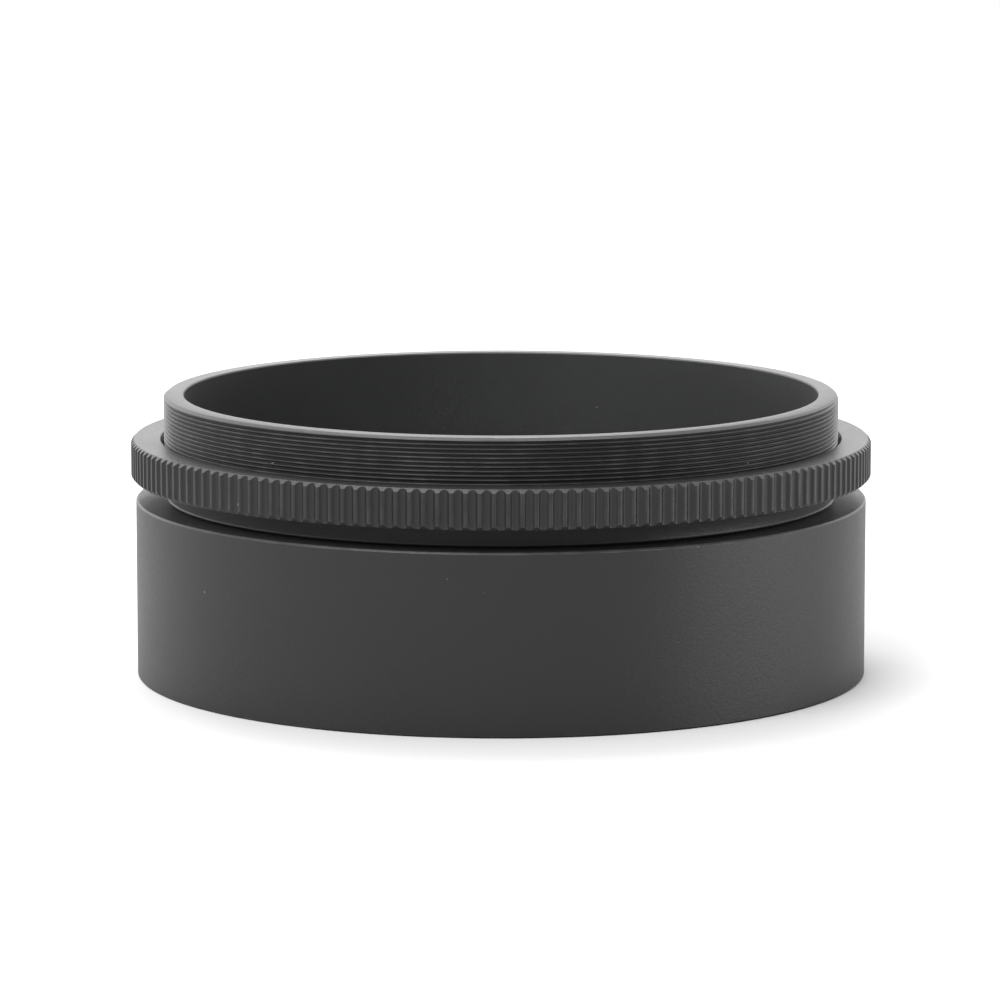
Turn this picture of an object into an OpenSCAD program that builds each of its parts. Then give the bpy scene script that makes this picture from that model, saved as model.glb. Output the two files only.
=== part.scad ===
// Large screw-in barlow lens: a turned aluminium barrel with a fine male thread at its
// sky end and a female thread in its base, a straight-knurled lock ring on the male
// thread, and a two-element negative lens in a drop-in cell.
// Millimetres, +Z along the optical axis, origin at the centre of the base.
// Threads are drawn plain: a male one at its crests, or at its roots where the lock ring
// sits on it, and a female one at its crests.

/* [Barrel] */
// Overall height of the barrel
barrel_h = 33.4; // [33.4:0.1:38]
// Diameter of the plain body
body_d = 86.7; // [85:0.1:90]
// Height of the plain body up to its shoulder
body_h = 21; // [20.5:0.05:21]
// Width of the chamfers on the body's edges
body_chamfer = 0.25; // [0.1:0.05:0.6]
// Diameter of the relief between the body and the male thread
neck_d = 78.9; // [78.3:0.1:79.1]
// Radius of the fillet where the neck meets the shoulder
neck_fillet = 0.3; // [0.1:0.05:0.5]
// Diameter of the smooth bore behind the rim
bore_d = 75.2; // [74.8:0.1:76]
// Height of the step that the lens cell is drawn up against
step_z = 22.5; // [22.4:0.1:23]

/* [Threads] */
// Crest diameter of the male thread
male_d = 80; // [79.8:0.1:80]
// Height at which the male thread starts, above the relief
male_start_z = 24; // [23.8:0.1:24.4]
// Height of the rim's outer chamfer
rim_chamfer_h = 0.35; // [0.3:0.05:0.8]
// Width of the rim's outer chamfer
rim_chamfer_w = 0.45; // [0.3:0.05:0.8]
// Crest diameter of the female thread in the base
female_d = 79.46; // [79.3:0.02:79.6]
// Depth of the female thread
female_depth = 8; // [7.5:0.1:8]
// Width of the female thread's lead-in chamfer
female_chamfer = 0.6; // [0.3:0.05:0.8]

/* [Lock ring] */
// Diameter over the knurl
ring_d = 87.8; // [87.4:0.1:89]
// Thickness of the lock ring
ring_h = 4.6; // [4:0.1:4.6]
// Height of the lock ring's lower face as it is left
ring_z = 23.54; // [23.52:0.01:23.6]
// Number of flutes in the straight knurl
flutes = 174; // [90:2:200]
// Depth of the flutes
flute_depth = 0.38; // [0.2:0.02:0.38]
// Width of the chamfers on the lock ring's edges
ring_chamfer = 0.4; // [0.4:0.02:0.6]
// Width of the countersink at each end of the lock ring's bore
ring_countersink = 0.4; // [0.3:0.05:0.8]

/* [Lens cell] */
// Outer diameter of the lens cell
cell_d = 77.1; // [76.9:0.05:77.1]
// Height of the cell's lower face
cell_z = 9.5; // [9.4:0.1:9.8]
// Diameter of the glass
glass_d = 71; // [70:0.1:71]
// Diameter of the ground clear aperture
clear_d = 68; // [66:0.1:68]
// Width of the spanner slots in the threaded rings
slot_w = 2.2; // [1.5:0.1:3]
// Depth of the spanner slots
slot_depth = 0.9; // [0.5:0.1:1]

/* [Glass] */
// Radius of the front element's upper face, hollow
front_upper_r = 200; // [190:5:400]
// Radius of the front element's lower face, hollow
front_lower_r = 240; // [235:5:400]
// Thickness of the front element at its centre
front_t = 2.6; // [2.4:0.1:2.8]
// Radius of the rear element's upper face, crowned
rear_upper_r = 230; // [220:5:235]
// Air gap between the two elements at the centre
air_gap = 0.35; // [0.3:0.05:0.4]

/* [Hidden] */
$fn = 180;
// The lens spheres are large, so their facets are finer
sphere_fn = 400;

// Clearance between the fixed pieces inside, and between the lock ring and the thread
slip = 0.05;
eps = 0.01;

body_r = body_d / 2;
neck_r = neck_d / 2;
bore_r = bore_d / 2;
male_r = male_d / 2;
// The roots are drawn deep enough for the free crests above them to stand apart
root_r = male_r - 0.41;
female_r = female_d / 2;

ring_r = ring_d / 2;
ring_top_z = ring_z + ring_h;
ring_bore_r = male_r + slip;
// The free thread starts just above the lock ring
free_thread_z = ring_top_z + 0.07;

// Groove in the lock ring's bore, with the drag ring in it
groove_depth = 0.95;
groove_h = 1.1;
groove_z = ring_z + (ring_h - groove_h) / 2;
drag_gap = 0.05;

cell_r = cell_d / 2;
cell_bore_r = cell_r + slip;
cell_lip_h = 1.2;
cell_lip_r = clear_d / 2 - 0.4;
glass_r = glass_d / 2;
clear_r = clear_d / 2;

// The threaded rings that hold the glass in the cell and the cell in the barrel
retaining_r = glass_r + 1.1;
retaining_h = 1.8;
cell_lock_inner_r = clear_r + 0.5;

// Depth of a sphere of radius r below its own rim at the clear aperture
function sag(r) = r - sqrt(r * r - clear_r * clear_r);

// The stack of glass, from its seat upwards
seat_z = cell_z + cell_lip_h;
cushion_h = 0.5;
retaining_z = step_z - 0.2 - retaining_h;
cushion_z = retaining_z - cushion_h;
front_top_z = cushion_z;
front_bottom_z = front_top_z - sag(front_upper_r) - front_t - sag(front_lower_r);
rear_crown_z = front_bottom_z + sag(front_lower_r) - air_gap;
rear_edge_z = rear_crown_z - sag(rear_upper_r);

// A solid of revolution from its half section, as [radius, height] points
module turned(section) {
    rotate_extrude()
        polygon(section);
}

// A plain flat ring
module washer(inner_r, outer_r, z, h) {
    turned([[inner_r, z], [outer_r, z], [outer_r, z + h], [inner_r, z + h]]);
}

// A cylinder standing at a height
module disc(r, z, h) {
    translate([0, 0, z])
        cylinder(r = r, h = h);
}

// Two opposite radial slots for a pin spanner, cut into a flat face
module spanner_slots(outer_r, z) {
    translate([-outer_r - 1, -slot_w / 2, z])
        cube([2 * outer_r + 2, slot_w, slot_depth + eps]);
}

// Concave fillet between the shoulder and the neck, as points from the shoulder upwards
function neck_fillet_points(steps = 6) = [
    for (i = [0 : steps])
        let (a = 90 * i / steps)
        [
            neck_r + neck_fillet - neck_fillet * sin(a),
            body_h + neck_fillet - neck_fillet * cos(a)
        ]
];

module barrel() {
    outside = concat(
        [
            [female_r + female_chamfer, 0],
            [body_r - body_chamfer, 0],
            [body_r, body_chamfer],
            [body_r, body_h - body_chamfer],
            [body_r - body_chamfer, body_h]
        ],
        neck_fillet_points(),
        [
            [neck_r, male_start_z],
            [root_r, male_start_z],
            [root_r, free_thread_z],
            [male_r, free_thread_z],
            [male_r, barrel_h - rim_chamfer_h],
            [male_r - rim_chamfer_w, barrel_h]
        ]
    );
    inside = [
        [bore_r + 0.15, barrel_h],
        [bore_r, barrel_h - 0.15],
        [bore_r, step_z],
        [cell_bore_r, step_z],
        [cell_bore_r, female_depth],
        [female_r, female_depth],
        [female_r, female_chamfer]
    ];
    color("#1d1d1e")
        turned(concat(outside, inside));
}

// Outline of the straight knurl: a ridge and a valley for each flute
module knurl_outline() {
    pitch = 360 / flutes;
    polygon([
        for (i = [0 : flutes - 1], half = [0, 1])
            let (r = ring_r - half * flute_depth)
            let (a = (i + half / 2) * pitch)
            [r * cos(a), r * sin(a)]
    ]);
}

module lock_ring() {
    blank_r = ring_r - flute_depth - eps;
    color("#232325")
        difference() {
            union() {
                turned([
                    [0, ring_z],
                    [ring_r - ring_chamfer - eps, ring_z],
                    [blank_r, ring_z + ring_chamfer - flute_depth],
                    [blank_r, ring_top_z - ring_chamfer + flute_depth],
                    [ring_r - ring_chamfer - eps, ring_top_z],
                    [0, ring_top_z]
                ]);
                translate([0, 0, ring_z + ring_chamfer])
                    linear_extrude(ring_h - 2 * ring_chamfer)
                        knurl_outline();
            }
            disc(ring_bore_r, ring_z - 1, ring_h + 2);
            disc(ring_bore_r + groove_depth, groove_z, groove_h);
            for (end = [0, 1])
                translate([0, 0, ring_z + ring_h / 2])
                    mirror([0, 0, end])
                        translate([0, 0, ring_h / 2 - ring_countersink])
                            cylinder(
                                r1 = ring_bore_r,
                                r2 = ring_bore_r + ring_countersink + eps,
                                h = ring_countersink + eps
                            );
        }
}

// Thin plastic ring that drags on the thread and travels with the lock ring
module drag_ring() {
    color("#3a3a3c")
        washer(
            male_r + drag_gap / 2,
            ring_bore_r + groove_depth - drag_gap,
            groove_z + drag_gap,
            groove_h - 2 * drag_gap
        );
}

module lens_cell() {
    color("#161617")
        turned([
            [cell_lip_r, cell_z],
            [cell_r, cell_z],
            [cell_r, step_z],
            [retaining_r + slip, step_z],
            [retaining_r + slip, retaining_z],
            [glass_r + slip, retaining_z],
            [glass_r + slip, seat_z],
            [cell_lip_r, seat_z]
        ]);
}

// Hollow on both faces
module front_element() {
    color("#8aa39a", 0.5)
        difference() {
            disc(glass_r, front_bottom_z, front_top_z - front_bottom_z);
            translate([0, 0, front_top_z - sag(front_upper_r) + front_upper_r])
                sphere(r = front_upper_r, $fn = sphere_fn);
            translate([0, 0, front_bottom_z + sag(front_lower_r) - front_lower_r])
                sphere(r = front_lower_r, $fn = sphere_fn);
        }
}

// Flat below and crowned above
module rear_element() {
    color("#8a93a3", 0.5)
        union() {
            disc(glass_r, seat_z, rear_edge_z - seat_z);
            intersection() {
                disc(clear_r + 1, rear_edge_z - eps, sag(rear_upper_r) + 1);
                translate([0, 0, rear_crown_z - rear_upper_r])
                    sphere(r = rear_upper_r, $fn = sphere_fn);
            }
        }
}

module element_spacer() {
    color("#2a2a2b")
        washer(clear_r, glass_r - slip, rear_edge_z, front_bottom_z - rear_edge_z);
}

module cushion_ring() {
    color("#34312c")
        washer(clear_r + 0.2, glass_r - slip, cushion_z, cushion_h);
}

// Holds the glass down in the cell
module retaining_ring() {
    color("#19191a")
        difference() {
            washer(clear_r, retaining_r, retaining_z, retaining_h);
            spanner_slots(retaining_r, retaining_z + retaining_h - slot_depth);
        }
}

// Holds the cell up against the step in the barrel
module cell_lock_ring() {
    color("#19191a")
        difference() {
            washer(cell_lock_inner_r, cell_r, female_depth, cell_z - female_depth);
            spanner_slots(cell_r, female_depth - eps);
        }
}

barrel();
lock_ring();
drag_ring();
lens_cell();
front_element();
rear_element();
element_spacer();
cushion_ring();
retaining_ring();
cell_lock_ring();
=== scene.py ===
import math

import bmesh
import bpy
import numpy as np
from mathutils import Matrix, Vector


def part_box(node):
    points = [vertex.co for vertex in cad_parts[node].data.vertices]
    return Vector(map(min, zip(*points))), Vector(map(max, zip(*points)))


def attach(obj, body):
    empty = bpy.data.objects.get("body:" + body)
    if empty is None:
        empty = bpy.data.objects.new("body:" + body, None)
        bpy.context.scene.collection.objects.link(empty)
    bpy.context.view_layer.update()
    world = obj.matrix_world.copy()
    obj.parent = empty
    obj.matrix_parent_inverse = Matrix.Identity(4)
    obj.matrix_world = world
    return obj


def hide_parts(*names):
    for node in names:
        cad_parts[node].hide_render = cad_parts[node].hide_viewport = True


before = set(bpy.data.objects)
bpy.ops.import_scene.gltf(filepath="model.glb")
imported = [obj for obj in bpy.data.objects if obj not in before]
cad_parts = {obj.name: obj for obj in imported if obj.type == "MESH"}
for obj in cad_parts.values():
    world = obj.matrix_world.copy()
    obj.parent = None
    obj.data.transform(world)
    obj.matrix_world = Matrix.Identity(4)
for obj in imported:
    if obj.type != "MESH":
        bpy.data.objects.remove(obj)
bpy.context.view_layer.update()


# --- Studio -------------------------------------------------------------------------------------
# A sheet of white paper in a white room that is brightest high up behind it. A soft box stands in
# front on the left and another hangs high behind. A low white card on the right lights the part's
# side without reaching over its rim. The camera looks a little down at the part.

MM = 0.001
camera_distance = 634.4 * MM
camera_elevation = math.radians(8.687)
camera_target = Vector((-0.12, 0.0, 20.35)) * MM
part_middle = (0.0, 0.0, 0.02)


def look_at(thing, target):
    """Turn a camera or light so that its -Z axis points at the target and +Y stays up."""
    aim = Vector(target) - thing.location
    thing.rotation_euler = aim.to_track_quat("-Z", "Y").to_euler()


camera_data = bpy.data.cameras.new("studio_camera")
camera_data.sensor_width = 36.0
camera_data.lens = 191.74
camera_data.clip_start = 0.05
camera_data.clip_end = 20.0
camera = bpy.data.objects.new("studio_camera", camera_data)
camera_back = Vector((0.0, -math.cos(camera_elevation), math.sin(camera_elevation)))
camera.location = camera_target + camera_back * camera_distance
look_at(camera, camera_target)
bpy.context.collection.objects.link(camera)
bpy.context.scene.camera = camera
bpy.context.scene.view_settings.view_transform = "Standard"


def soft_box(name, place, width, height, power):
    """A rectangular area light aimed at the part."""
    data = bpy.data.lights.new(name, "AREA")
    data.shape = "RECTANGLE"
    data.size, data.size_y = width, height
    data.energy = power
    box = bpy.data.objects.new(name, data)
    box.location = place
    look_at(box, part_middle)
    bpy.context.collection.objects.link(box)


soft_box("left_soft_box", (-0.45, -0.62, 0.95), 0.7, 0.7, 11.0)
soft_box("back_soft_box", (-0.1, 0.6, 1.0), 0.6, 0.6, 9.0)
soft_box("right_card", (0.55, -0.1, 0.016), 0.5, 0.03, 0.55)

# The room is a smooth glow that is brightest high up behind the part, a little to the left
room_front, room_back = 0.42, 1.95
glow_from, glow_direction = -0.6, (-0.26, 0.63, 0.73)
world = bpy.data.worlds.new("studio_room")
bpy.context.scene.world = world
world.use_nodes = True
room = world.node_tree
direction = room.nodes.new("ShaderNodeTexCoord")
towards_back = room.nodes.new("ShaderNodeVectorMath")
towards_back.operation = "DOT_PRODUCT"
towards_back.inputs[1].default_value = glow_direction
glow = room.nodes.new("ShaderNodeMapRange")
glow.interpolation_type = "SMOOTHSTEP"
glow.inputs["From Min"].default_value = glow_from
glow.inputs["To Min"].default_value = room_front
glow.inputs["To Max"].default_value = room_back
room.links.new(direction.outputs["Generated"], towards_back.inputs[0])
room.links.new(towards_back.outputs["Value"], glow.inputs["Value"])
room.links.new(glow.outputs["Result"], room.nodes["Background"].inputs["Strength"])
room.nodes["Background"].inputs["Color"].default_value = (1.0, 1.0, 1.0, 1.0)

# The sheet is overexposed where it is looked at, and a plain pale grey for what it lights
paper_reach, paper_lighting, paper_seen = 3.0, 0.36, 0.56
paper_mesh = bpy.data.meshes.new("paper")
paper_mesh.from_pydata(
    [(x * paper_reach, y * paper_reach, 0.0) for x, y in ((-1, -1), (1, -1), (1, 1), (-1, 1))],
    [], [(0, 1, 2, 3)],
)
paper = bpy.data.objects.new("paper", paper_mesh)
paper_stock = bpy.data.materials.new("paper_stock")
paper_stock.use_nodes = True
paper_shader = paper_stock.node_tree.nodes["Principled BSDF"]
paper_shader.inputs["Roughness"].default_value = 0.9
paper_shader.inputs["Specular IOR Level"].default_value = 0.1
looked_at = paper_stock.node_tree.nodes.new("ShaderNodeLightPath")
paper_tone = paper_stock.node_tree.nodes.new("ShaderNodeMapRange")
paper_tone.inputs["To Min"].default_value = paper_lighting
paper_tone.inputs["To Max"].default_value = paper_seen
paper_stock.node_tree.links.new(looked_at.outputs["Is Camera Ray"], paper_tone.inputs["Value"])
paper_stock.node_tree.links.new(paper_tone.outputs["Result"], paper_shader.inputs["Base Color"])
paper_mesh.materials.append(paper_stock)
bpy.context.collection.objects.link(paper)


# --- Barrel -------------------------------------------------------------------------------------
# One piece of aluminium bar, turned and bored on a lathe, with both threads cut by a single
# point, then fine-blasted and anodised black. Every edge is broken by a small radius.

def box_mm(node):
    """Lowest and highest corner of a part's box at rest, in mm."""
    low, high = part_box(node)
    return np.array(low) / MM, np.array(high) / MM


barrel_top = box_mm("barrel")[1][2]
body_r, body_top, body_chamfer = 43.35, 21.0, 0.2
neck_r, neck_fillet = 39.44, 0.3
pitch, thread_depth = 0.5, 0.27
male_r, male_start = 40.0, 24.0
rim_chamfer_w, rim_chamfer_h = 0.45, 0.35
bore_r, bore_chamfer, step_z, cell_bore_r = 37.6, 0.15, 22.5, 38.6
female_r, female_top, female_lead, female_relief = 39.73, 8.0, 0.6, 0.35

# Rows of one turn of each thread: how far on through the turn, and how far out of the root
male_phases = (0.05, 0.09, 0.335, 0.36, 0.385, 0.615, 0.64, 0.665, 0.91, 0.95)
male_lift = (0.0, 0.06, 0.86, 0.95, 1.0, 1.0, 0.95, 0.86, 0.06, 0.0)
female_phases = (0.0, 0.10, 0.42, 0.58, 0.90)
female_lift = (1.0, 0.88, 0.0, 0.0, 0.88)
# Crests turn rubbed grey: partly real wear, partly a painted highlight where light catches them
crest_from, crest_wear_and_highlight = 0.8, 0.45


def even_angles(columns):
    """So many columns spread evenly round the axis: full turn * number / columns."""
    return np.arange(columns) * 2 * np.pi / columns


def broken_edges(corners, closed=True, steps=4, hold=0.04):
    """Half section with every corner rounded, from rows of (radius, height, edge radius) in mm.

    Along the two sides of a corner the arc starts edge / tan(half the inner angle) away, and its
    centre lies edge / sin(half the inner angle) along the bisector. The arc turns evenly between
    the radii at its ends. A holding point just outside each end keeps the flats flat.
    An open section keeps its first and last rows as they are. The rows may hold a column axis
    before the last one. Returns radius, height and a wear mask that swells over an outer edge.
    """
    corners = np.asarray(corners, float)
    p, edge = corners[..., :2], corners[..., 2:]
    if not closed:
        ends, edge = (p[:1], p[-1:]), edge[1:-1]
        back, on, p = p[:-2] - p[1:-1], p[2:] - p[1:-1], p[1:-1]
    else:
        back, on = np.roll(p, 1, axis=0) - p, np.roll(p, -1, axis=0) - p
    back = back / np.linalg.norm(back, axis=-1, keepdims=True)
    on = on / np.linalg.norm(on, axis=-1, keepdims=True)
    half = np.arccos(np.clip((back * on).sum(-1, keepdims=True), -1, 1)) / 2
    reach = edge / np.tan(half)
    centre = p + (back + on) / (2 * np.cos(half)) * edge / np.sin(half)
    start, end = p + back * reach, p + on * reach
    turn = np.pi - 2 * half
    s = np.linspace(0, 1, steps + 1)
    arc = [
        (np.sin((1 - t) * turn) * (start - centre) + np.sin(t * turn) * (end - centre))
        / np.sin(turn) + centre
        for t in s
    ]
    rows = np.stack([start + back * hold, *arc, end + on * hold], axis=1)
    outer = (back[..., 0] * on[..., 1] - back[..., 1] * on[..., 0]) < 0
    swell = np.array([0.0, *np.sin(np.pi * (0.15 + 0.7 * s)), 0.0])
    wear_and_highlight = outer[:, None] * swell.reshape(-1, *[1] * (outer.ndim - 1))
    rows = rows.reshape(-1, *rows.shape[2:])
    wear_and_highlight = wear_and_highlight.reshape(-1, *wear_and_highlight.shape[2:])
    if not closed:
        rows = np.concatenate([ends[0], rows, ends[1]])
        wear_and_highlight = np.concatenate([0 * wear_and_highlight[:1], wear_and_highlight, 0 * wear_and_highlight[:1]])
    return rows[..., 0], rows[..., 1], wear_and_highlight


def thread_rows(z_low, z_high, crest_r, depth, phases, lift, angle, blank):
    """Rows of a right-hand thread between two heights: radius, height, crest wear with a painted
    highlight, and rows per turn.

    A row follows the helix: its height is z_low + pitch * (turn + phase + angle / full turn), and
    lift says how far it stands out of the root, from 0 to 1. Rows past either end are pressed on
    to that end, and the blank, a function of radius and height, says what was left to cut.
    """
    turns = int(np.ceil((z_high - z_low) / pitch)) + 2
    row_turn = np.arange(turns)[:, None] - 1 + np.asarray(phases)[None, :]
    z = z_low + pitch * (row_turn.reshape(-1, 1) + angle / (2 * np.pi))
    z = np.clip(z, z_low, z_high)
    lift = np.tile(lift, turns)[:, None]
    cut = crest_r - depth * (1 - lift)
    r = blank(cut + 0 * z, z)
    # The crest mask: real wear and a painted highlight on the crests
    crest = np.clip((lift - crest_from) / (1 - crest_from), 0, 1)
    return r, z, crest_wear_and_highlight * crest * (np.abs(r - cut) < 0.001), len(phases)


def lathe(name, blocks, angle, closed=True):
    """Solid of revolution from blocks of rows that run up the outside and down the inside.

    A block is (radius, height, wear and painted highlight) in mm, as rows or as rows x columns, and
    a thread's block adds its rows per turn, negative where it runs downwards. Rows and columns make
    a grid of quads. Where the last column meets the first, a thread's rows join the ones a pitch
    further on, so its helix is unbroken. Points pressed together at a thread's ends or on the axis
    merge.
    The angle is one value per column, or rows x columns. Every point keeps its wear and painted
    highlight, and its feed, the tool's way along the section.
    """
    columns = np.shape(angle)[-1]
    r, z, wear_and_highlight, partner, first = [], [], [], [], 0
    for block in blocks:
        rows = len(block[0])
        for held, value in zip((r, z, wear_and_highlight), block):
            value = np.asarray(value, float)
            value = value if value.ndim == 2 else value[:, None]
            held.append(np.broadcast_to(value, (rows, columns)))
        shift = block[3] if len(block) > 3 else 0
        partner.append(first + np.clip(np.arange(rows) + shift, 0, rows - 1))
        first += rows
    r, z, wear_and_highlight, partner = (np.concatenate(held) for held in (r, z, wear_and_highlight, partner))
    step = np.hypot(np.diff(r, axis=0, prepend=r[:1]), np.diff(z, axis=0, prepend=z[:1]))
    feed = np.cumsum(step, axis=0)
    points = np.stack([r * np.cos(angle), r * np.sin(angle), z], axis=-1) * MM
    i, j = np.meshgrid(np.arange(first - (not closed)), np.arange(columns), indexing="ij")
    above = (i + 1) % first
    seam = j == columns - 1
    near = np.where(seam, partner[i], i) * columns + (j + 1) % columns
    far = np.where(seam, partner[above], above) * columns + (j + 1) % columns
    quads = np.stack([i * columns + j, near, far, above * columns + j], axis=-1)
    mesh = bpy.data.meshes.new(name)
    mesh.vertices.add(first * columns)
    mesh.vertices.foreach_set("co", points.astype(np.float32).ravel())
    mesh.loops.add(quads.size)
    mesh.loops.foreach_set("vertex_index", quads.astype(np.int32).ravel())
    mesh.polygons.add(quads.size // 4)
    mesh.polygons.foreach_set("loop_start", np.arange(0, quads.size, 4, dtype=np.int32))
    # Edge wear and the painted highlight on thread crests go into one attribute
    for label, value in (("wear_and_highlight", wear_and_highlight), ("feed", feed)):
        layer = mesh.attributes.new(label, "FLOAT", "POINT")
        layer.data.foreach_set("value", value.astype(np.float32).ravel())
    mesh.update(calc_edges=True)
    work = bmesh.new()
    work.from_mesh(mesh)
    bmesh.ops.remove_doubles(work, verts=work.verts, dist=0.001 * MM)
    work.to_mesh(mesh)
    work.free()
    mesh.polygons.foreach_set("use_smooth", np.ones(len(mesh.polygons), bool))
    mesh.update()
    piece = bpy.data.objects.new(name, mesh)
    bpy.context.collection.objects.link(piece)
    return piece


def face_places(mesh):
    """Distance from the axis and height of the middle of each face, in mm."""
    centre = np.empty(len(mesh.polygons) * 3)
    mesh.polygons.foreach_get("center", centre)
    x, y, z = centre.reshape(-1, 3).T / MM
    return np.hypot(x, y), z


def group_of(name, sockets):
    """A new shader group with these (name, kind, default) inputs and (name, kind) outputs."""
    tree = bpy.data.node_groups.new(name, "ShaderNodeTree")
    for label, kind, *default in sockets:
        into = "INPUT" if default else "OUTPUT"
        socket = tree.interface.new_socket(label, in_out=into, socket_type="NodeSocket" + kind)
        if default:
            socket.default_value = default[0]
    return tree, tree.nodes.new("NodeGroupInput"), tree.nodes.new("NodeGroupOutput")


def add(tree, kind, values=(), **settings):
    """A new node with its settings and the values of its named or numbered inputs."""
    node = tree.nodes.new("ShaderNode" + kind)
    for label, value in settings.items():
        setattr(node, label, value)
    for label, value in dict(values).items():
        if isinstance(value, bpy.types.NodeSocket):
            tree.links.new(value, node.inputs[label])
        else:
            node.inputs[label].default_value = value
    return node


def mixed_colour(tree, mask, under, over):
    """One colour turning into another where a mask goes from 0 to 1."""
    # A colour Mix keeps its A, B and Result at these places
    first, second, result = 6, 7, 2
    mix = add(tree, "Mix", {"Factor": mask, first: under, second: over}, data_type="RGBA")
    return mix.outputs[result]


def make_blasted_grain():
    """Fine pits and coarser dents from blasting, a slow drift of tone, and faint lathe rings."""
    coarse_share, dent_weight, tone_share = 0.26, 1.2, 0.5
    drifts_per_metre, rings_per_mm = 55.0, 9.0
    tree, given, result = group_of("blasted_grain", [
        ("Grain Size", "Float", 0.12), ("Ring Strength", "Float", 0.3),
        ("Tone", "Float"), ("Height", "Float"),
    ])
    place = add(tree, "TexCoord").outputs["Object"]
    per_metre = add(tree, "Math", {0: 1000.0, 1: given.outputs["Grain Size"]}, operation="DIVIDE")
    pits = add(tree, "TexNoise", {"Vector": place, "Scale": per_metre.outputs[0], "Detail": 3.0})
    coarser = add(tree, "Math", {0: per_metre.outputs[0], 1: coarse_share}, operation="MULTIPLY")
    dents = add(tree, "TexNoise", {"Vector": place, "Scale": coarser.outputs[0], "Detail": 2.0})
    drift = add(tree, "TexNoise", {
        "Vector": place, "Scale": drifts_per_metre, "Detail": 4.0, "Roughness": 0.6,
    })
    feed = add(tree, "Attribute", attribute_name="feed")
    rings = add(tree, "TexNoise", {
        "W": feed.outputs["Fac"], "Scale": rings_per_mm, "Detail": 2.0,
    }, noise_dimensions="1D")
    ring_part = add(tree, "Math", {
        0: rings.outputs["Fac"], 1: given.outputs["Ring Strength"],
    }, operation="MULTIPLY")
    dented = add(tree, "Math", {
        0: dents.outputs["Fac"], 1: dent_weight, 2: ring_part.outputs[0],
    }, operation="MULTIPLY_ADD")
    height = add(tree, "Math", {0: pits.outputs["Fac"], 1: dented.outputs[0]}, operation="ADD")
    fine = add(tree, "Math", {0: dents.outputs["Fac"], 1: tone_share}, operation="MULTIPLY")
    slow = add(tree, "Math", {
        0: drift.outputs["Fac"], 1: 1 - tone_share, 2: fine.outputs[0],
    }, operation="MULTIPLY_ADD")
    tree.links.new(slow.outputs[0], result.inputs["Tone"])
    tree.links.new(height.outputs[0], result.inputs["Height"])
    return tree


def make_rub_and_crest_highlight():
    """Where handling has thinned the black on outer edges, and a painted highlight on thread
    crests, broken up by noise.
    """
    patches_per_metre, whole_below, rubbed_above = 420.0, 0.42, 0.68
    tree, given, result = group_of("rub_and_crest_highlight", [("Amount", "Float", 0.5), ("Mask", "Float")])
    place = add(tree, "TexCoord").outputs["Object"]
    edge = add(tree, "Attribute", attribute_name="wear_and_highlight")
    patch = add(tree, "TexNoise", {"Vector": place, "Scale": patches_per_metre, "Detail": 5.0})
    broken = add(tree, "MapRange", {
        "Value": patch.outputs["Fac"], "From Min": whole_below, "From Max": rubbed_above,
    })
    both = add(tree, "Math", {0: edge.outputs["Fac"], 1: broken.outputs[0]}, operation="MULTIPLY")
    scaled = add(tree, "Math", {
        0: both.outputs[0], 1: given.outputs["Amount"],
    }, operation="MULTIPLY")
    tree.links.new(scaled.outputs[0], result.inputs["Mask"])
    return tree


def make_dust():
    """Scattered specks of dust: small round cells, of which only a few are kept."""
    smallest, largest = 0.03, 0.09
    tree, given, result = group_of("dust", [
        ("Spacing", "Float", 2.0), ("Share", "Float", 0.1), ("Mask", "Float"),
    ])
    place = add(tree, "TexCoord").outputs["Object"]
    per_metre = add(tree, "Math", {0: 1000.0, 1: given.outputs["Spacing"]}, operation="DIVIDE")
    cells = add(tree, "TexVoronoi", {"Vector": place, "Scale": per_metre.outputs[0]})
    kept = add(tree, "SeparateColor", {"Color": cells.outputs["Color"]})
    rare = add(tree, "Math", {
        0: kept.outputs["Red"], 1: given.outputs["Share"],
    }, operation="LESS_THAN")
    size = add(tree, "MapRange", {
        "Value": kept.outputs["Green"], "To Min": smallest, "To Max": largest,
    })
    speck = add(tree, "MapRange", {
        "Value": cells.outputs["Distance"], "From Min": size.outputs[0], "From Max": 0.0,
    })
    both = add(tree, "Math", {0: speck.outputs[0], 1: rare.outputs[0]}, operation="MULTIPLY")
    tree.links.new(both.outputs[0], result.inputs["Mask"])
    return tree


blasted_grain, rub_and_crest_highlight, dust = make_blasted_grain(), make_rub_and_crest_highlight(), make_dust()
# The grey of rubbed edges, which on the thread's crests is also a painted highlight
rubbed_metal_and_highlight, settled_dust = (0.16, 0.16, 0.165, 1), (0.42, 0.41, 0.39, 1)
rough_play = 0.12


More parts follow.
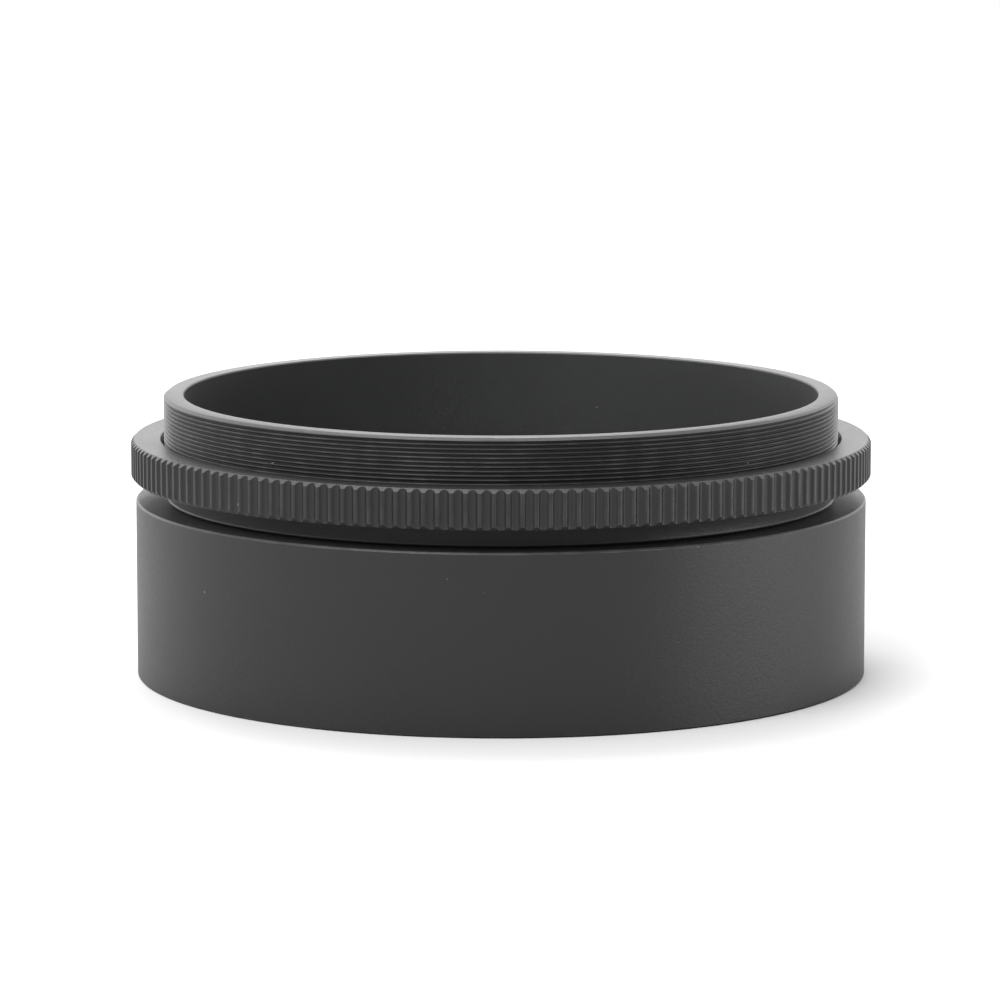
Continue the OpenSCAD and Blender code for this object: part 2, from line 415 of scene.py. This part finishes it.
def finished(name, dark, light, rough, grain=0.12, rings=0.3, bump=0.02, rub_and_highlight=0.3, specks=0.05):
    """Opaque finish: two close tones, roughness with a little play, fine grain, rub with a painted
    highlight on crests, and dust.
    """
    material = bpy.data.materials.new(name)
    material.use_nodes = True
    tree = material.node_tree
    shader = tree.nodes["Principled BSDF"]
    blast = add(tree, "Group", node_tree=blasted_grain)
    blast.inputs["Grain Size"].default_value = grain
    blast.inputs["Ring Strength"].default_value = rings
    rub_and_highlight_node = add(tree, "Group", node_tree=rub_and_crest_highlight)
    rub_and_highlight_node.inputs["Amount"].default_value = rub_and_highlight
    speck = add(tree, "Group", node_tree=dust)
    speck.inputs["Share"].default_value = specks
    tone = mixed_colour(tree, blast.outputs["Tone"], (*dark, 1), (*light, 1))
    # Rubbed grey on worn edges, and a painted highlight on thread crests
    rubbed_and_highlight_colour = mixed_colour(tree, rub_and_highlight_node.outputs["Mask"], tone, rubbed_metal_and_highlight)
    dusty = mixed_colour(tree, speck.outputs["Mask"], rubbed_and_highlight_colour, settled_dust)
    tree.links.new(dusty, shader.inputs["Base Color"])
    play = add(tree, "MapRange", {
        "Value": blast.outputs["Tone"], "To Min": rough - rough_play, "To Max": rough + rough_play,
    })
    tree.links.new(play.outputs[0], shader.inputs["Roughness"])
    relief = add(tree, "Bump", {
        "Height": blast.outputs["Height"], "Strength": 1.0, "Distance": bump * MM,
    })
    tree.links.new(relief.outputs["Normal"], shader.inputs["Normal"])
    shader.inputs["IOR"].default_value = 1.5
    return material


def male_blank(r, z):
    """The blank's outside: a 45 degree lead above the relief and the chamfer under the rim."""
    lead = neck_r + (z - male_start)
    rim = male_r - rim_chamfer_w * (z - barrel_top + rim_chamfer_h) / rim_chamfer_h
    return np.minimum(r, np.minimum(lead, rim))


def female_blank(r, z):
    """The bored hole in the base: a 45 degree lead-in and a relief at the far end."""
    lead = female_r + female_lead - z
    relief = female_r + female_relief - 0.5 * (female_top - z)
    return np.maximum(r, np.maximum(lead, relief))


barrel_angle = even_angles(240)
barrel_outside = broken_edges([
    (female_r + female_lead, 0.0, 0),
    (body_r - body_chamfer, 0.0, 0.07),
    (body_r, body_chamfer, 0.07),
    (body_r, body_top - body_chamfer, 0.08),
    (body_r - body_chamfer, body_top, 0.08),
    (neck_r, body_top, neck_fillet),
    (neck_r, male_start, 0),
], closed=False)
male_thread = thread_rows(
    male_start, barrel_top, male_r, thread_depth, male_phases, male_lift, barrel_angle, male_blank)
barrel_inside = broken_edges([
    (male_r - rim_chamfer_w, barrel_top, 0),
    (bore_r + bore_chamfer, barrel_top, 0.04),
    (bore_r, barrel_top - bore_chamfer, 0.04),
    (bore_r, step_z, 0.05),
    (cell_bore_r, step_z, 0.05),
    (cell_bore_r, female_top, 0.08),
    (female_r + female_relief, female_top, 0),
], closed=False)
female_thread = thread_rows(
    0.0, female_top, female_r, -thread_depth, female_phases, female_lift, barrel_angle,
    female_blank)
female_downwards = [rows[::-1] for rows in female_thread[:3]] + [-female_thread[3]]
barrel = lathe(
    "barrel_turned", [barrel_outside, male_thread, barrel_inside, female_downwards], barrel_angle)
# Its rub amount lightens worn edges and, as a painted highlight, the thread's crests
barrel.data.materials.append(finished(
    "barrel_anodised", (0.011, 0.011, 0.0113), (0.017, 0.017, 0.0175), 0.38,
    bump=0.013, rub_and_highlight=0.45, specks=0.08))
# The bore behind the rim gets lighter and more matt colours than the outside
barrel.data.materials.append(finished(
    "bore_anodised", (0.019, 0.019, 0.0194), (0.027, 0.027, 0.0275), 0.5,
    rings=0.5, bump=0.01, specks=0.1))
from_axis, height = face_places(barrel.data)
bored = (from_axis < bore_r + 0.1) & (height > step_z)
barrel.data.polygons.foreach_set("material_index", bored.astype(np.int32))
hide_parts("barrel")
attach(barrel, "barrel")


# --- Lock ring ----------------------------------------------------------------------------------
# A ring turned from the same bar, with round-bottomed flutes milled round its edge, both edges
# chamfered, and a countersink at each end of the threaded bore. Black anodised.

ring_low, ring_high = box_mm("lock_ring")
ring_bottom, ring_top = ring_low[2], ring_high[2]
ring_r, ring_bore_r = 43.9, 40.05
ring_chamfer, ring_countersink = 0.4, 0.4
groove_r, groove_h = 41.0, 1.1
groove_low = (ring_bottom + ring_top - groove_h) / 2
groove_high = groove_low + groove_h
land_wear = 0.15

# Across one flute, in pitches from its middle. The cutter leaves an arc as wide as seven tenths
# of the pitch, whose radius is (half width^2 + depth^2) / (2 depth), and a narrow land beside it.
flutes, flute_depth, flute_width = 174, 0.38, 0.7
across = np.array([-0.36, -0.335, -0.27, -0.17, -0.06, 0.06, 0.17, 0.27, 0.335, 0.36])
flute_pitch = 2 * np.pi * ring_r / flutes
half_flute = flute_width / 2 * flute_pitch
cutter_r = (half_flute ** 2 + flute_depth ** 2) / (2 * flute_depth)
cut_depth = flute_depth - cutter_r + np.sqrt(cutter_r ** 2 - (across * flute_pitch) ** 2)
ring_angle = ((np.arange(flutes)[:, None] + 0.5 + across) * 2 * np.pi / flutes).ravel()
fall = np.tile(np.maximum(cut_depth, 0), flutes)
knurl_r = ring_r - fall


def all_round(r, z, edge):
    """One corner of the half section, repeated for every column."""
    one = np.ones(len(ring_angle))
    return np.stack([r * one, z * one, edge * one], axis=-1)


ring_outside = broken_edges(np.stack([
    all_round(ring_bore_r + ring_countersink, ring_bottom, 0),
    all_round(ring_r - ring_chamfer, ring_bottom, 0.03),
    all_round(knurl_r, ring_bottom + ring_chamfer - fall, 0.03),
    all_round(knurl_r, ring_top - ring_chamfer + fall, 0.03),
    all_round(ring_r - ring_chamfer, ring_top, 0.03),
    all_round(ring_bore_r + ring_countersink, ring_top, 0),
]), closed=False, steps=2, hold=0.01)
ring_inside = broken_edges([
    (ring_bore_r + ring_countersink + 0.1, ring_top, 0),
    (ring_bore_r + ring_countersink, ring_top, 0.04),
    (ring_bore_r, ring_top - ring_countersink, 0.04),
    (ring_bore_r, groove_high, 0.02),
    (groove_r, groove_high, 0.02),
    (groove_r, groove_low, 0.02),
    (ring_bore_r, groove_low, 0.02),
    (ring_bore_r, ring_bottom + ring_countersink, 0.04),
    (ring_bore_r + ring_countersink, ring_bottom, 0.04),
    (ring_bore_r + ring_countersink + 0.1, ring_bottom, 0),
], closed=False, steps=1)
# The inside has its own rows on both faces, and the lands are rubbed from end to end
ring_outside = [rows[1:-1] for rows in ring_outside]
ring_outside[2] = np.maximum(ring_outside[2], land_wear * (fall == 0))
lock_ring = lathe("lock_ring_knurled", [ring_outside, ring_inside], ring_angle)
lock_ring.data.materials.append(finished(
    "ring_anodised", (0.011, 0.011, 0.0113), (0.018, 0.018, 0.0185), 0.38,
    rings=0.15, rub_and_highlight=0.5, specks=0.22))
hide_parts("lock_ring")
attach(lock_ring, "lock_ring")


# --- Drag ring ----------------------------------------------------------------------------------
# A thin ring moulded in black nylon that sits in the groove of the lock ring's bore and rubs on
# the thread, so that the ring doesn't run loose. It travels with the lock ring without turning.

def washer(name, inner_r, outer_r, low, high, edge):
    """Flat ring, its rectangle of a section carried round the axis with all corners rounded."""
    section = broken_edges([
        (outer_r, low, edge), (outer_r, high, edge), (inner_r, high, edge), (inner_r, low, edge),
    ], steps=3)
    return lathe(name, [section], even_angles(180))


drag_low, drag_high = box_mm("drag_ring")
drag_bore_r = 40.025
drag_ring = washer(
    "drag_ring_moulded", drag_bore_r, drag_high[0], drag_low[2], drag_high[2], edge=0.12)
drag_ring.data.materials.append(finished(
    "drag_nylon", (0.045, 0.045, 0.046), (0.058, 0.058, 0.06), 0.5,
    grain=0.3, rings=0.0, bump=0.01, rub_and_highlight=0.0, specks=0.0))
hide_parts("drag_ring")
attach(drag_ring, "ring_carrier")


# --- Lens cell, spacer and the two slotted rings ------------------------------------------------
# The tube that holds the glass is turned from aluminium, like the spacer between the lenses and
# the two rings that screw in over the glass and under the cell. All are matt black inside parts.

inner_finish = finished(
    "inner_anodised", (0.008, 0.008, 0.008), (0.014, 0.014, 0.0145), 0.55,
    grain=0.16, rings=0.6, bump=0.03, rub_and_highlight=0.25, specks=0.1)

cell_low, cell_high = box_mm("lens_cell")
keeper_low, keeper_high = box_mm("retaining_ring")
under_low, under_high = box_mm("cell_lock_ring")
spacer_low, spacer_high = box_mm("element_spacer")
keeper_bore_r, glass_bore_r, lip_r = 36.65, 35.55, 33.6
clear_r, under_bore_r = 34.0, 34.5
lip_h = 1.2
seat_z = cell_low[2] + lip_h

cell_section = broken_edges([
    (cell_high[0], cell_low[2], 0.15),
    (cell_high[0], cell_high[2], 0.1),
    (keeper_bore_r, cell_high[2], 0.12),
    (keeper_bore_r, keeper_low[2], 0.02),
    (glass_bore_r, keeper_low[2], 0.04),
    (glass_bore_r, seat_z, 0.02),
    (lip_r, seat_z, 0.08),
    (lip_r, cell_low[2], 0.3),
])
lens_cell = lathe("lens_cell_turned", [cell_section], even_angles(200))

# Across one spanner slot, in mm from its middle, and how far each place lies below the face
slot_across = np.array([-1.22, -1.17, -1.12, -1.1, -0.4, 0.4, 1.1, 1.12, 1.17, 1.22])
slot_fall = np.array([0, 0, 0.05, 0.9, 0.9, 0.9, 0.9, 0.05, 0, 0])


def slotted_ring(name, inner_r, outer_r, low, high, edges, from_above, even_columns=70):
    """Flat ring with two opposite slots for a pin spanner, cut from above or from below.

    The slots' walls run straight across, so a column beside one stands at the angle whose sine
    is its distance from the slot's middle over the radius. The rest are spread evenly between,
    and every height is held to the slot's floor where a slot is.
    """
    low_edge, high_edge = edges
    r, z, wear_and_highlight = broken_edges([
        (outer_r, low, 0.1), (outer_r, high, 0.1),
        (inner_r, high, high_edge), (inner_r, low, low_edge),
    ], steps=3)
    slot = np.arcsin(slot_across / r[:, None])
    even = np.linspace(0, 1, even_columns + 2)[1:-1]
    between = slot[:, -1:] + even * (np.pi - 2 * slot[:, -1:])
    half = np.concatenate([slot, between], axis=1)
    fall = np.tile(np.concatenate([slot_fall, 0 * even]), 2)
    if from_above:
        z = np.minimum(z[:, None], high - fall)
    else:
        z = np.maximum(z[:, None], low + fall)
    return lathe(name, [(r, z, wear_and_highlight)], np.concatenate([half, half + np.pi], axis=1))


retaining_ring = slotted_ring(
    "retaining_ring_slotted", clear_r, keeper_high[0], keeper_low[2], keeper_high[2],
    edges=(0.1, 0.3), from_above=True)
cell_lock_ring = slotted_ring(
    "cell_lock_ring_slotted", under_bore_r, under_high[0], under_low[2], under_high[2],
    edges=(0.25, 0.1), from_above=False)
element_spacer = washer(
    "element_spacer_turned", clear_r, spacer_high[0], spacer_low[2], spacer_high[2], edge=0.05)
for piece, node in (
    (lens_cell, "lens_cell"), (retaining_ring, "retaining_ring"),
    (cell_lock_ring, "cell_lock_ring"), (element_spacer, "element_spacer"),
):
    piece.data.materials.append(inner_finish)
    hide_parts(node)
    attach(piece, "barrel")


# --- Cushion ring -------------------------------------------------------------------------------
# A washer punched from thin fibre sheet, dark brown, laid on the rim of the upper lens so that
# the screwed ring above it doesn't press metal on glass.

cushion_low, cushion_high = box_mm("cushion_ring")
cushion_bore_r = clear_r + 0.2
cushion_ring = washer(
    "cushion_ring_punched", cushion_bore_r, cushion_high[0], cushion_low[2], cushion_high[2],
    edge=0.06)
cushion_ring.data.materials.append(finished(
    "cushion_fibre", (0.032, 0.027, 0.022), (0.055, 0.047, 0.039), 0.8,
    grain=0.5, rings=0.0, bump=0.05, rub_and_highlight=0.0, specks=0.0))
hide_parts("cushion_ring")
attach(cushion_ring, "barrel")


# --- Lenses -------------------------------------------------------------------------------------
# Two elements ground and polished from optical glass: the upper one hollow on both faces, and the
# lower one flat below and crowned above. The faces are coated, and the ground rims inked black.

front_low, front_high = box_mm("front_element")
rear_low = box_mm("rear_element")[0]
glass_r = 35.5
# Radius of curvature of the lower and the upper face
front_curves, rear_curves = (240.0, -200.0), (0.0, 230.0)


def ground(r, curve, rim):
    """Height of a spherical face: its rim's height plus the rise from the clear radius in to r.

    The rise is the difference of sqrt(curve^2 - radius^2) at the two radii. It is negative for a
    negative curve, a face that dips towards the middle, and nothing for a flat face, curve 0.
    """
    at_rim = math.sqrt(max(curve ** 2 - clear_r ** 2, 0))
    depth = np.sqrt(np.maximum(curve ** 2 - r ** 2, 0)) - at_rim
    return rim + np.sign(curve) * depth


def lens(name, curves, low, high, bevel):
    """Lens as one surface of revolution: out along the lower face, up the rim, back in on top."""
    lower, upper = curves
    r = (clear_r - 0.1) * np.sin(np.linspace(0, np.pi / 2, 26))
    below, above = (r, ground(r, lower, low), 0 * r), (r, ground(r, upper, high), 0 * r)
    corners = [(r[-1], below[1][-1], 0), (clear_r, low, 0.02), (glass_r, low, bevel),
               (glass_r, high, bevel), (clear_r, high, 0.02), (r[-1], above[1][-1], 0)]
    if not lower:
        del corners[1]
    rim = broken_edges(corners, closed=False, steps=3, hold=0.03)
    blocks = [[row[:-1] for row in below], rim, [row[-2::-1] for row in above]]
    return lathe(name, blocks, even_angles(160), closed=False)


def make_wiped():
    """Faint streaks and prints left where a face was wiped, long one way and broken by noise."""
    wiping = {"Rotation": (0, 0, 0.6), "Scale": (1, 0.22, 1)}
    tree, given, result = group_of("wiped_face", [("Streak Size", "Float", 9.0), ("Mask", "Float")])
    place = add(tree, "TexCoord").outputs["Object"]
    drawn = add(tree, "Mapping", {"Vector": place, **wiping})
    per_metre = add(tree, "Math", {
        0: 1000.0, 1: given.outputs["Streak Size"],
    }, operation="DIVIDE")
    streaks = add(tree, "TexNoise", {
        "Vector": drawn.outputs[0], "Scale": per_metre.outputs[0], "Detail": 6.0,
        "Roughness": 0.7, "Distortion": 0.8,
    })
    kept = add(tree, "MapRange", {
        "Value": streaks.outputs["Fac"], "From Min": 0.5, "From Max": 0.8,
    })
    tree.links.new(kept.outputs[0], result.inputs["Mask"])
    return tree


wiped_face = make_wiped()
dust_on_glass = (0.62, 0.6, 0.57, 1)
smoothest, smeared = 0.005, 0.12


def polished(name, clear, coating):
    """Coated glass: clear and smooth, tinted by its coating, with wiped marks and a little dust."""
    material = bpy.data.materials.new(name)
    material.use_nodes = True
    tree = material.node_tree
    shader = tree.nodes["Principled BSDF"]
    wiped = add(tree, "Group", node_tree=wiped_face)
    speck = add(tree, "Group", node_tree=dust)
    speck.inputs["Spacing"].default_value = 3.0
    speck.inputs["Share"].default_value = 0.12
    marks = add(tree, "Math", {
        0: wiped.outputs["Mask"], 1: speck.outputs["Mask"],
    }, operation="MAXIMUM")
    rough = add(tree, "MapRange", {
        "Value": marks.outputs[0], "To Min": smoothest, "To Max": smeared,
    })
    tree.links.new(rough.outputs[0], shader.inputs["Roughness"])
    tint = mixed_colour(tree, speck.outputs["Mask"], (*clear, 1), dust_on_glass)
    tree.links.new(tint, shader.inputs["Base Color"])
    shader.inputs["Transmission Weight"].default_value = 1.0
    shader.inputs["IOR"].default_value = 1.52
    shader.inputs["Specular Tint"].default_value = (*coating, 1)
    return material


rim_ink = finished(
    "rim_ink", (0.006, 0.006, 0.006), (0.014, 0.014, 0.014), 0.6,
    grain=0.35, rings=0.8, rub_and_highlight=0.0, specks=0.0)
front_glass = polished("front_glass", (0.95, 0.985, 0.965), (0.42, 0.72, 0.6))
rear_glass = polished("rear_glass", (0.96, 0.965, 0.99), (0.45, 0.5, 0.82))
front_element = lens(
    "front_element_ground", front_curves, front_low[2], front_high[2], bevel=0.15)
rear_element = lens(
    "rear_element_ground", rear_curves, rear_low[2], spacer_low[2], bevel=0.1)
for piece, node, slot, glass in (
    (front_element, "front_element", "front_glass", front_glass),
    (rear_element, "rear_element", "rear_glass", rear_glass),
):
    piece.data.materials.append(glass)
    piece.data.materials.append(rim_ink)
    on_rim = face_places(piece.data)[0] > clear_r
    piece.data.polygons.foreach_set("material_index", on_rim.astype(np.int32))
    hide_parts(node)
    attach(piece, "barrel")
